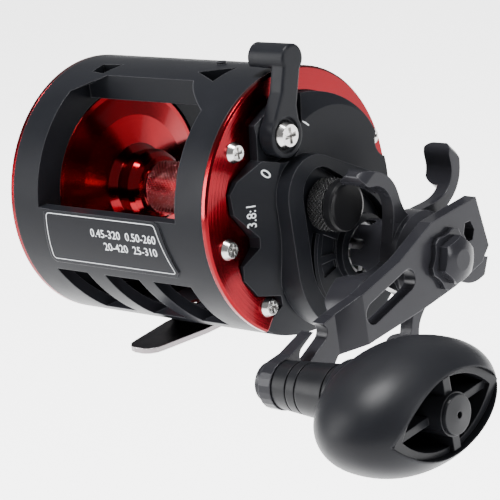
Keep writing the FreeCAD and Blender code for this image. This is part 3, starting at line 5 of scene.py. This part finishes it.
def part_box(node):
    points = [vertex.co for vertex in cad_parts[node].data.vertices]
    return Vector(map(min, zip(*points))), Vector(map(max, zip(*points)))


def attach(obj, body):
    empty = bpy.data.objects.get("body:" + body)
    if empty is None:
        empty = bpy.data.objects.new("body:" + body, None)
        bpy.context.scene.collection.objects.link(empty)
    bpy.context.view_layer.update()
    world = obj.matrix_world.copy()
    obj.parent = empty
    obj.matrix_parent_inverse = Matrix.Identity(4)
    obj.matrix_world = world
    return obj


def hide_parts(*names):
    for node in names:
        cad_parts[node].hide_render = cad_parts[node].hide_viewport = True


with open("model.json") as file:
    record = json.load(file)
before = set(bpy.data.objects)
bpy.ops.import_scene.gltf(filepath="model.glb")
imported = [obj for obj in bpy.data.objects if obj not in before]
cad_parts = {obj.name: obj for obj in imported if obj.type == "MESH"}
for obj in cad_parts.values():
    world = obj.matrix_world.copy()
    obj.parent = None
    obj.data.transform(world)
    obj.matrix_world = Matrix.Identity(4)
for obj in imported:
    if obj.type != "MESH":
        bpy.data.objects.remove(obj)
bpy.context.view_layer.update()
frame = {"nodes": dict(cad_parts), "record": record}  # frame["bodies"], ["nodes"], ["joints"], ["record"]


# --- Studio --------------------------------------------------------------------------
# One square soft lamp above and a tall strip lamp on each side, in a dim white room. The
# camera stands behind and to the right of the reel, with a long lens.
AXIS_Z = 0.0385
camera = bpy.data.objects.new("camera", bpy.data.cameras.new("camera"))
bpy.context.scene.collection.objects.link(camera)
bpy.context.scene.camera = camera
camera.data.lens = 172.8
camera.data.sensor_width = 36
camera.data.clip_end = 10
across = Vector((0.734287, 0.663373, -0.144079))
upward = Vector((-0.092571, 0.308111, 0.946836))
backward = Vector((0.672498, -0.681912, 0.287651))
camera.matrix_world = (Matrix.Translation((0.481651, -0.471040, 0.182087 + AXIS_Z))
                       @ Matrix((across, upward, backward)).transposed().to_4x4())

world = bpy.data.worlds.new("studio")
bpy.context.scene.world = world
world.use_nodes = True
world.node_tree.nodes["Background"].inputs[0].default_value = (1, 1, 1, 1)
world.node_tree.nodes["Background"].inputs[1].default_value = 0.45


def soft_lamp(name, spot, aim, wide, tall, power):
    lamp = bpy.data.lights.new(name, "AREA")
    lamp.shape = "RECTANGLE"
    lamp.size, lamp.size_y = wide, tall
    lamp.energy = power
    item = bpy.data.objects.new(name, lamp)
    bpy.context.scene.collection.objects.link(item)
    item.location = spot
    item.rotation_euler = (Vector(aim) - Vector(spot)).to_track_quat("-Z", "Y").to_euler()


soft_lamp("top_box", (-0.05, -0.10, 0.80), (0, 0, 0.03), 0.30, 0.30, 18)
soft_lamp("left_box", (-0.55, -0.65, 0.35), (0, 0, 0.04), 0.14, 0.7, 10)
soft_lamp("right_box", (0.85, 0.15, 0.35), (0.03, 0, 0.03), 0.14, 0.6, 8)


# --- Frame and its moulded plastic -----------------------------------------------------
# The frame is one piece of satin black reinforced nylon. It comes out of the mould with
# a fine even grain and slightly rounded edges.
def effect(name, inputs, outputs):
    """An empty node group with its named sockets, and its two end nodes."""
    tree = bpy.data.node_groups.new(name, "ShaderNodeTree")
    for label, kind, value in inputs:
        tree.interface.new_socket(label, in_out="INPUT", socket_type=kind).default_value = value
    for label, kind in outputs:
        tree.interface.new_socket(label, in_out="OUTPUT", socket_type=kind)
    return tree, tree.nodes.new("NodeGroupInput"), tree.nodes.new("NodeGroupOutput")


def node(tree, kind, settings=(), values=()):
    item = tree.nodes.new(kind)
    for key, value in dict(settings).items():
        setattr(item, key, value)
    for key, value in dict(values).items():
        item.inputs[key].default_value = value
    return item


# Fine moulded grain, and the slow cloudiness of a large plastic or metal face.
grain, grain_in, grain_out = effect(
    "fine_grain", [("Scale", "NodeSocketFloat", 2500.0), ("Cloud Scale", "NodeSocketFloat", 70.0)],
    [("Height", "NodeSocketFloat"), ("Cloud", "NodeSocketFloat")])
where = node(grain, "ShaderNodeTexCoord")
fine = node(grain, "ShaderNodeTexNoise", values={"Detail": 3.0, "Roughness": 0.55})
slow = node(grain, "ShaderNodeTexNoise", values={"Detail": 4.0, "Roughness": 0.6})
for noise, scale in ((fine, "Scale"), (slow, "Cloud Scale")):
    grain.links.new(where.outputs["Object"], noise.inputs["Vector"])
    grain.links.new(grain_in.outputs[scale], noise.inputs["Scale"])
grain.links.new(fine.outputs["Fac"], grain_out.inputs["Height"])
grain.links.new(slow.outputs["Fac"], grain_out.inputs["Cloud"])

# Rounded edges, and a mask along them that marks rubbed wear and a painted edge highlight.
rounding, rounding_in, rounding_out = effect(
    "rounded_edges", [("Radius", "NodeSocketFloat", 0.0004)],
    [("Normal", "NodeSocketVector"), ("Edge", "NodeSocketFloat")])
bevel = node(rounding, "ShaderNodeBevel", {"samples": 6})
flat = node(rounding, "ShaderNodeNewGeometry")
match = node(rounding, "ShaderNodeVectorMath", {"operation": "DOT_PRODUCT"})
edge_wear_and_highlight = node(rounding, "ShaderNodeMapRange",
              values={"From Min": 0.97, "From Max": 0.80, "To Min": 0.0, "To Max": 1.0})
rounding.links.new(rounding_in.outputs["Radius"], bevel.inputs["Radius"])
rounding.links.new(bevel.outputs["Normal"], match.inputs[0])
rounding.links.new(flat.outputs["Normal"], match.inputs[1])
rounding.links.new(match.outputs["Value"], edge_wear_and_highlight.inputs["Value"])
rounding.links.new(bevel.outputs["Normal"], rounding_out.inputs["Normal"])
rounding.links.new(edge_wear_and_highlight.outputs["Result"], rounding_out.inputs["Edge"])


def finish(name, colour, second, rough, spread=0.06, metal=0.0, relief=None, relief_values=(),
           depth=0.02, edge=0.0004, wear_and_highlight_colour=(0.2, 0.2, 0.21), wear_and_highlight_amount=0.15, coat=0.0, sheen=0.5, turned=0.0):
    """A material with cloudy colour and gloss, a surface relief, and rounded edges lightened as rubbed wear
    and as a painted highlight.

    turned stretches its highlights away from the X axis, as on metal from a lathe.
    """
    material = bpy.data.materials.new(name)
    material.use_nodes = True
    tree = material.node_tree
    shader = tree.nodes["Principled BSDF"]
    shader.inputs["Metallic"].default_value = metal
    shader.inputs["Specular IOR Level"].default_value = sheen
    shader.inputs["Coat Weight"].default_value = coat
    shader.inputs["Coat Roughness"].default_value = 0.06
    if turned:
        shader.inputs["Anisotropic"].default_value = turned
        shader.inputs["Anisotropic Rotation"].default_value = 0.25
        about = node(tree, "ShaderNodeTangent", {"direction_type": "RADIAL", "axis": "X"})
        tree.links.new(about.outputs["Tangent"], shader.inputs["Tangent"])
    skin = node(tree, "ShaderNodeGroup", {"node_tree": grain})
    surface = skin
    if relief:
        surface = node(tree, "ShaderNodeGroup", {"node_tree": relief}, relief_values)
    soft = node(tree, "ShaderNodeGroup", {"node_tree": rounding}, {"Radius": edge})
    tint = node(tree, "ShaderNodeMix", {"data_type": "RGBA"})
    tint.inputs["A"].default_value = (*colour, 1)
    tint.inputs["B"].default_value = (*second, 1)
    tree.links.new(skin.outputs["Cloud"], tint.inputs["Factor"])
    # Edges are mixed toward the edge colour, partly as rubbed wear and partly as a painted highlight where
    # light catches them.
    amount = node(tree, "ShaderNodeMath", {"operation": "MULTIPLY"}, {1: wear_and_highlight_amount})
    tree.links.new(soft.outputs["Edge"], amount.inputs[0])
    edges = node(tree, "ShaderNodeMix", {"data_type": "RGBA"})
    edges.inputs["B"].default_value = (*wear_and_highlight_colour, 1)
    tree.links.new(amount.outputs["Value"], edges.inputs["Factor"])
    tree.links.new(tint.outputs["Result"], edges.inputs["A"])
    tree.links.new(edges.outputs["Result"], shader.inputs["Base Color"])
    gloss = node(tree, "ShaderNodeMapRange", values={"From Min": 0.3, "From Max": 0.7,
                                                     "To Min": rough - spread, "To Max": rough + spread})
    tree.links.new(skin.outputs["Cloud"], gloss.inputs["Value"])
    tree.links.new(gloss.outputs["Result"], shader.inputs["Roughness"])
    bump = node(tree, "ShaderNodeBump", values={"Strength": depth, "Distance": 0.0002})
    tree.links.new(surface.outputs["Height"], bump.inputs["Height"])
    tree.links.new(soft.outputs["Normal"], bump.inputs["Normal"])
    tree.links.new(bump.outputs["Normal"], shader.inputs["Normal"])
    return material


def dress(material, *names):
    """Give carried-over parts their finish."""
    for name in names:
        slots = frame["nodes"][name].data.materials
        slots.clear()
        slots.append(material)


BLACK_NYLON = ((0.0050, 0.0054, 0.0068), (0.0080, 0.0085, 0.0105))
# Its pale edge lines are partly rubbed wear and partly a painted highlight.
satin_black = finish("satin_black_nylon", *BLACK_NYLON, 0.36, depth=0.10, wear_and_highlight_colour=(0.060, 0.060, 0.066),
                     wear_and_highlight_amount=0.8, sheen=0.05)
dress(satin_black, "frame", "gear_cover", "left_side_plate", "click_button")


def place_mesh(name, verts, faces, material, body, smooth=True):
    """A new piece from corners and faces, riding on a body."""
    mesh = bpy.data.meshes.new(name)
    mesh.from_pydata([tuple(v) for v in verts], [], faces)
    mesh.update()
    tool = bmesh.new()
    tool.from_mesh(mesh)
    bmesh.ops.remove_doubles(tool, verts=tool.verts, dist=1e-7)
    bmesh.ops.recalc_face_normals(tool, faces=tool.faces)
    tool.to_mesh(mesh)
    tool.free()
    if smooth:
        mesh.shade_smooth()
    mesh.materials.append(material)
    item = bpy.data.objects.new(name, mesh)
    bpy.context.scene.collection.objects.link(item)
    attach(item, body)
    return item


# --- Markings ----------------------------------------------------------------------------
# Pad-printed marks in light grey ink: a border and line capacities in plain figures on the
# panel, and plain figures beside the clutch lever.
light_ink = finish("light_grey_ink", (0.62, 0.64, 0.66), (0.50, 0.52, 0.54), 0.5, depth=0.02,
                   edge=0.00005, wear_and_highlight_amount=0.0)
PANEL_RADIUS = 0.0385
INK_TOP = 0.00006
INK_ROOT = -0.00003


def figures(name, words, height, wrap):
    """Printed figures: flat letters laid on the surface that wrap describes."""
    curve = bpy.data.curves.new(name, "FONT")
    curve.body = words
    curve.size = height
    curve.align_x = "CENTER"
    curve.align_y = "CENTER"
    curve.resolution_u = 3
    item = bpy.data.objects.new(name, curve)
    bpy.context.scene.collection.objects.link(item)
    bpy.context.view_layer.update()
    mesh = bpy.data.meshes.new_from_object(item)
    bpy.data.objects.remove(item)
    tool = bmesh.new()
    tool.from_mesh(mesh)
    bmesh.ops.remove_doubles(tool, verts=tool.verts, dist=1e-6)
    long_edges = [edge for edge in tool.edges if edge.calc_length() > 0.0006]
    bmesh.ops.subdivide_edges(tool, edges=long_edges, cuts=1)
    bmesh.ops.triangulate(tool, faces=tool.faces)
    verts, faces = [], []
    tool.verts.index_update()
    for vert in tool.verts:
        verts.append(wrap(vert.co.x, vert.co.y, INK_TOP))
    count = len(verts)
    for vert in tool.verts:
        verts.append(wrap(vert.co.x, vert.co.y, INK_ROOT))
    for face in tool.faces:
        loop = [vert.index for vert in face.verts]
        faces.append(loop)
        faces.append([index + count for index in reversed(loop)])
    for edge in tool.edges:
        if edge.is_boundary:
            first, last = edge.verts[0].index, edge.verts[1].index
            faces.append([first, last, last + count, first + count])
    tool.free()
    return place_mesh(name, verts, faces, light_ink, "reel", smooth=False)


def on_panel(x, z):
    """Placement on the round panel, with its middle at x and height z from the spool axis."""
    def wrap(along, up, lift):
        turn = math.asin(z / PANEL_RADIUS) + up / PANEL_RADIUS
        radius = PANEL_RADIUS + lift
        return Vector((x + along, -radius * math.cos(turn), AXIS_Z + radius * math.sin(turn)))
    return wrap


figures("capacity_upper", "0.45-320  0.50-260", 0.0034, on_panel(0.0066, -0.0013))
figures("capacity_lower", "20-420  25-310", 0.0034, on_panel(0.0086, -0.0051))


BORDER_TOP = 0.00008


def border(name, corners, width, wrap):
    """A thin raised line through corner points."""
    path = []
    for index, corner in enumerate(corners):
        before, after = Vector(corners[index - 1]), Vector(corners[(index + 1) % len(corners)])
        corner = Vector(corner)
        radius = min(0.0012, (before - corner).length / 2, (after - corner).length / 2)
        start = corner + (before - corner).normalized() * radius
        end = corner + (after - corner).normalized() * radius
        for step in range(7):
            t = step / 6
            path.append(start * (1 - t) ** 2 + corner * 2 * t * (1 - t) + end * t ** 2)
    fine_path = []
    for index, spot in enumerate(path):
        other = path[(index + 1) % len(path)]
        steps = max(1, int((other - spot).length / 0.0015))
        fine_path += [spot.lerp(other, step / steps) for step in range(steps)]
    verts, faces = [], []
    count = len(fine_path)
    for index, spot in enumerate(fine_path):
        run = (fine_path[(index + 1) % count] - fine_path[index - 1]).normalized()
        side = Vector((-run.y, run.x)) * width / 2
        for shift, lift in ((side, INK_ROOT), (side, BORDER_TOP), (-side, BORDER_TOP), (-side, INK_ROOT)):
            verts.append(wrap(spot.x + shift.x, spot.y + shift.y, lift))
    for index in range(count):
        a, b = 4 * index, 4 * ((index + 1) % count)
        for side in range(4):
            faces.append([a + side, a + (side + 1) % 4, b + (side + 1) % 4, b + side])
    return place_mesh(name, verts, faces, light_ink, "reel", smooth=False)


border("panel_border", [(-0.0238, 0.0032), (0.0196, 0.0032), (0.0240, -0.0112), (-0.0252, -0.0112)],
       0.00018, on_panel(0, 0))
COVER_FACE = 0.046
COVER_MIDDLE = (0.0075, 0.001)
COVER_FLAT = 0.0245
COVER_SLOPE = 2.2


def on_cover(y, z, turn=0.0):
    """Placement on the gear cover, whose face slopes away round a flat middle."""
    def wrap(along, up, lift):
        spot_y = y + along * math.cos(turn) - up * math.sin(turn)
        spot_z = z + along * math.sin(turn) + up * math.cos(turn)
        out = math.hypot(spot_y - COVER_MIDDLE[0], spot_z - COVER_MIDDLE[1])
        x = COVER_FACE - max(0.0, out - COVER_FLAT) / COVER_SLOPE
        return Vector((x + lift, spot_y, AXIS_Z + spot_z))
    return wrap


figures("mark_free", "0", 0.0042, on_cover(-0.0172, 0.0134, math.radians(40)))
figures("mark_drive", "1", 0.0042, on_cover(-0.0001, 0.0230, math.radians(50)))
figures("mark_ratio", "3.8:1", 0.0036, on_cover(-0.0235, 0.0033, math.radians(84)))


# --- Red trim rings and spool -----------------------------------------------------------
# Turned from aluminium bar, polished and anodised red. The cutting tool leaves very fine
# rings round the axis, and the anodised layer gives a clear gloss.
lathe, lathe_in, lathe_out = effect(
    "lathe_rings",
    [("Centre", "NodeSocketVector", (0.0, 0.0, AXIS_Z)), ("Density", "NodeSocketFloat", 2500.0)],
    [("Height", "NodeSocketFloat")])
spot = node(lathe, "ShaderNodeTexCoord")
offset = node(lathe, "ShaderNodeVectorMath", {"operation": "SUBTRACT"})
parts = node(lathe, "ShaderNodeSeparateXYZ")
flatten = node(lathe, "ShaderNodeVectorMath", {"operation": "MULTIPLY"}, {1: (0.0, 1.0, 1.0)})
radius = node(lathe, "ShaderNodeVectorMath", {"operation": "LENGTH"})
pair = node(lathe, "ShaderNodeCombineXYZ")
rings = node(lathe, "ShaderNodeTexNoise", {"noise_dimensions": "2D"}, {"Detail": 2.0})
lathe.links.new(spot.outputs["Object"], offset.inputs[0])
lathe.links.new(lathe_in.outputs["Centre"], offset.inputs[1])
lathe.links.new(offset.outputs["Vector"], parts.inputs["Vector"])
lathe.links.new(offset.outputs["Vector"], flatten.inputs[0])
lathe.links.new(flatten.outputs["Vector"], radius.inputs[0])
lathe.links.new(parts.outputs["X"], pair.inputs["X"])
lathe.links.new(radius.outputs["Value"], pair.inputs["Y"])
lathe.links.new(pair.outputs["Vector"], rings.inputs["Vector"])
lathe.links.new(lathe_in.outputs["Density"], rings.inputs["Scale"])
lathe.links.new(rings.outputs["Fac"], lathe_out.inputs["Height"])

red_anodised = finish("red_anodised_aluminium", (0.14, 0.0015, 0.005), (0.11, 0.001, 0.004), 0.18, 0.04,
                      metal=1.0, relief=lathe, depth=0.10, edge=0.0003, wear_and_highlight_colour=(0.50, 0.05, 0.06), wear_and_highlight_amount=0.5,
                      coat=0.1)
dress(red_anodised, "right_trim_ring", "left_trim_ring")
red_polished = finish("red_polished_aluminium", (0.22, 0.002, 0.006), (0.17, 0.0015, 0.005), 0.20, 0.04,
                      metal=1.0, relief=lathe, depth=0.03, edge=0.0003, wear_and_highlight_colour=(0.8, 0.14, 0.13), wear_and_highlight_amount=0.5,
                      coat=0.15, turned=0.8)
dress(red_polished, "spool")


STEPS_PER_TOOTH = 6


def knurl(name, start, length, radius, teeth, height, material, body, ends=((), ())):
    """A turned band with a crossed diamond knurl, on the spool axis.

    ends holds the plain (x, radius) rings before and after the band.
    """
    around = teeth * STEPS_PER_TOOTH
    pitch = 2 * math.pi * radius / teeth
    along = max(8, int(round(length / pitch * STEPS_PER_TOOTH)))
    band = [(start + length * step / along, radius, True) for step in range(along + 1)]
    profile = [(x, r, False) for x, r in ends[0]] + band + [(x, r, False) for x, r in ends[1]]
    fade = 0.3 * pitch
    verts, faces = [], []
    for x, ring, toothed in profile:
        wave = (x - start) / pitch
        share = min(1.0, (x - start) / fade + 0.2, (start + length - x) / fade + 0.2) if toothed else 0.0
        for index in range(around):
            turn = 2 * math.pi * index / around
            first = abs(((index / STEPS_PER_TOOTH + wave) % 1) - 0.5) * 2
            last = abs(((index / STEPS_PER_TOOTH - wave) % 1) - 0.5) * 2
            r = ring + share * height * (min(first, last) - 0.5)
            verts.append(Vector((x, r * math.cos(turn), AXIS_Z + r * math.sin(turn))))
    rows = len(profile)
    for row in range(rows - 1):
        for index in range(around):
            a, b = row * around + index, row * around + (index + 1) % around
            faces.append([a, b, b + around, a + around])
    for row, flip in ((0, True), (rows - 1, False)):
        loop = [row * around + index for index in range(around)]
        faces.append(loop[::-1] if flip else loop)
    return place_mesh(name, verts, faces, material, body, smooth=False)


# The bright lines on the diamond edges are a painted highlight as well as wear.
red_knurl = finish("red_knurled_aluminium", (0.26, 0.004, 0.010), (0.20, 0.003, 0.008), 0.24, 0.04,
                   metal=1.0, edge=0.00012, wear_and_highlight_colour=(0.95, 0.45, 0.45), wear_and_highlight_amount=0.9)
knurl("arbor_knurl", -0.0138, 0.0276, 0.00775, 40, 0.0007, red_knurl, "spool")

# --- Small hardware ----------------------------------------------------------------------
# Chromed pan head screws, the stamped and polished stainless foot, and the bright steel
# and brass parts inside.
brushed, brushed_in, brushed_out = effect(
    "brushed_grain", [("Stretch", "NodeSocketVector", (4000.0, 60.0, 4000.0))],
    [("Height", "NodeSocketFloat")])
lay = node(brushed, "ShaderNodeTexCoord")
stretch = node(brushed, "ShaderNodeVectorMath", {"operation": "MULTIPLY"})
hairs = node(brushed, "ShaderNodeTexNoise", values={"Scale": 1.0, "Detail": 2.0})
brushed.links.new(lay.outputs["Object"], stretch.inputs[0])
brushed.links.new(brushed_in.outputs["Stretch"], stretch.inputs[1])
brushed.links.new(stretch.outputs["Vector"], hairs.inputs["Vector"])
brushed.links.new(hairs.outputs["Fac"], brushed_out.inputs["Height"])

chrome = finish("chromed_steel", (0.50, 0.49, 0.48), (0.42, 0.41, 0.40), 0.20, 0.05, metal=1.0, depth=0.01,
                edge=0.0002, wear_and_highlight_colour=(0.85, 0.85, 0.85), wear_and_highlight_amount=0.5)
dress(chrome, "right_plate_screws", "left_plate_screws", "lever_screw")
foot_steel = finish("polished_stainless", (0.20, 0.18, 0.185), (0.14, 0.125, 0.13), 0.20, 0.05, metal=1.0,
                    relief=brushed, depth=0.06, wear_and_highlight_colour=(0.9, 0.9, 0.9), wear_and_highlight_amount=0.6)
dress(foot_steel, "reel_foot", "foot_rivets")
bare_steel = finish("machined_steel", (0.55, 0.55, 0.56), (0.45, 0.45, 0.46), 0.32, metal=1.0,
                    relief=lathe, depth=0.1, edge=0.0002, wear_and_highlight_colour=(0.85, 0.85, 0.85), wear_and_highlight_amount=0.3)
brass = finish("machined_brass", (0.60, 0.42, 0.16), (0.50, 0.34, 0.12), 0.3, metal=1.0, relief=lathe,
               depth=0.1, edge=0.0002, wear_and_highlight_colour=(0.85, 0.7, 0.4), wear_and_highlight_amount=0.3)
slots = {row["node"]: row["material_slot"] for row in frame["record"]["subparts"]}
dress(bare_steel, *[name for name, slot in slots.items() if slot in ("steel_parts", "bright_steel")])
dress(brass, *[name for name, slot in slots.items() if slot in ("gear_brass", "spring_bronze")])

# --- Clutch lever, star and handle -------------------------------------------------------
# The lever and the star are moulded black nylon; the arm is stamped from aluminium plate
# and anodised black, with small bright lines painted along its rounded edges as a highlight.
dress(finish("lever_nylon", *BLACK_NYLON, 0.36, depth=0.08, edge=0.0009, wear_and_highlight_colour=(0.02, 0.02, 0.024),
             wear_and_highlight_amount=0.4, sheen=0.07), "clutch_lever")
dress(finish("star_nylon", (0.014, 0.0145, 0.017), (0.018, 0.0185, 0.021), 0.34, depth=0.06, edge=0.0012,
             wear_and_highlight_colour=(0.03, 0.03, 0.035), wear_and_highlight_amount=0.3, sheen=0.22), "star_drag")
arm_black = finish("black_anodised_aluminium", (0.010, 0.010, 0.012), (0.016, 0.016, 0.019), 0.22,
                   metal=0.1, relief=brushed, relief_values={"Stretch": (3000.0, 150.0, 3000.0)},
                   depth=0.03, wear_and_highlight_colour=(0.10, 0.10, 0.11), wear_and_highlight_amount=0.5, sheen=0.09)
dress(arm_black, *[name for name, slot in slots.items() if slot == "black_anodised"])
dress(arm_black, "handle_arm", "lock_plate", "handle_nut", "knob_axle", "handle_spacer")
inner_black = finish("inner_black_nylon", (0.008, 0.008, 0.009), (0.012, 0.012, 0.013), 0.45, depth=0.05,
                     sheen=0.12)
dress(inner_black, *[name for name, slot in slots.items() if slot in ("inner_plastic", "drag_fibre")])

# --- Cast control cap --------------------------------------------------------------------
# Turned and black-anodised aluminium with a crossed knurl round its grip, a narrow groove
# and a smooth flat nose. It screws on the gear cover over the end of the spool shaft.
cap_start, cap_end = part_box("cast_control_cap")
cap_radius = (cap_end[2] - cap_start[2]) / 2
cap_foot, cap_nose = cap_start[0], cap_end[0]
# The light lines on the knurl ridges are a painted highlight as well as wear.
knurled_black = finish("black_anodised_knurl", (0.004, 0.004, 0.0045), (0.007, 0.007, 0.008), 0.30,
                       edge=0.00012, wear_and_highlight_colour=(0.22, 0.22, 0.22), wear_and_highlight_amount=0.8, sheen=0.08)
cap_shoulder = [(cap_foot, 0.0035), (cap_foot, cap_radius - 0.0008)]
cap_groove_and_nose = [(cap_foot + 0.0059, cap_radius - 0.0010), (cap_foot + 0.0062, cap_radius - 0.0003),
                       (cap_nose - 0.0010, cap_radius - 0.0004), (cap_nose - 0.0003, cap_radius - 0.0008),
                       (cap_nose, cap_radius - 0.0016), (cap_nose, 0.0012)]
cap = knurl("knurled_cap", cap_foot + 0.0005, 0.0052, cap_radius - 0.0003, 36, 0.0006, knurled_black,
            "cap", ends=(cap_shoulder, cap_groove_and_nose))
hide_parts("cast_control_cap")

# --- Handle knob ---------------------------------------------------------------------------
# A hard black core turns on the axle and carries an over-moulded soft grip, whose open
# mouth shows the ribbed core and its small cap.
dress(finish("soft_grip", (0.0060, 0.0063, 0.0078), (0.0080, 0.0084, 0.0102), 0.40, depth=0.05, edge=0.0010,
             wear_and_highlight_colour=(0.02, 0.02, 0.024), wear_and_highlight_amount=0.3, sheen=0.10), "knob_grip")
dress(finish("hard_core_nylon", (0.0050, 0.0052, 0.0062), (0.0075, 0.0078, 0.0092), 0.32, depth=0.05,
             wear_and_highlight_colour=(0.03, 0.03, 0.034), wear_and_highlight_amount=0.4, sheen=0.10), "knob_core", "knob_cap")

# --- Floor -----------------------------------------------------------------------------
# Seamless white paper lit from below. It lies low enough for the knob to swing past
# over it.
FLOOR_Z = -0.11
FLOOR_HALF = 4
paper = finish("white_paper", (0.92, 0.92, 0.92), (0.90, 0.90, 0.90), 0.8, wear_and_highlight_amount=0.0)
paper_shader = paper.node_tree.nodes["Principled BSDF"]
paper_shader.inputs["Emission Color"].default_value = (1, 1, 1, 1)
paper_shader.inputs["Emission Strength"].default_value = 3.0
sheet_mesh = bpy.data.meshes.new("floor")
sheet_corners = [(FLOOR_HALF * x, FLOOR_HALF * y, FLOOR_Z) for x, y in ((-1, -1), (1, -1), (1, 1), (-1, 1))]
sheet_mesh.from_pydata(sheet_corners, [], [(0, 1, 2, 3)])
sheet_mesh.materials.append(paper)
floor = bpy.data.objects.new("floor", sheet_mesh)
bpy.context.scene.collection.objects.link(floor)
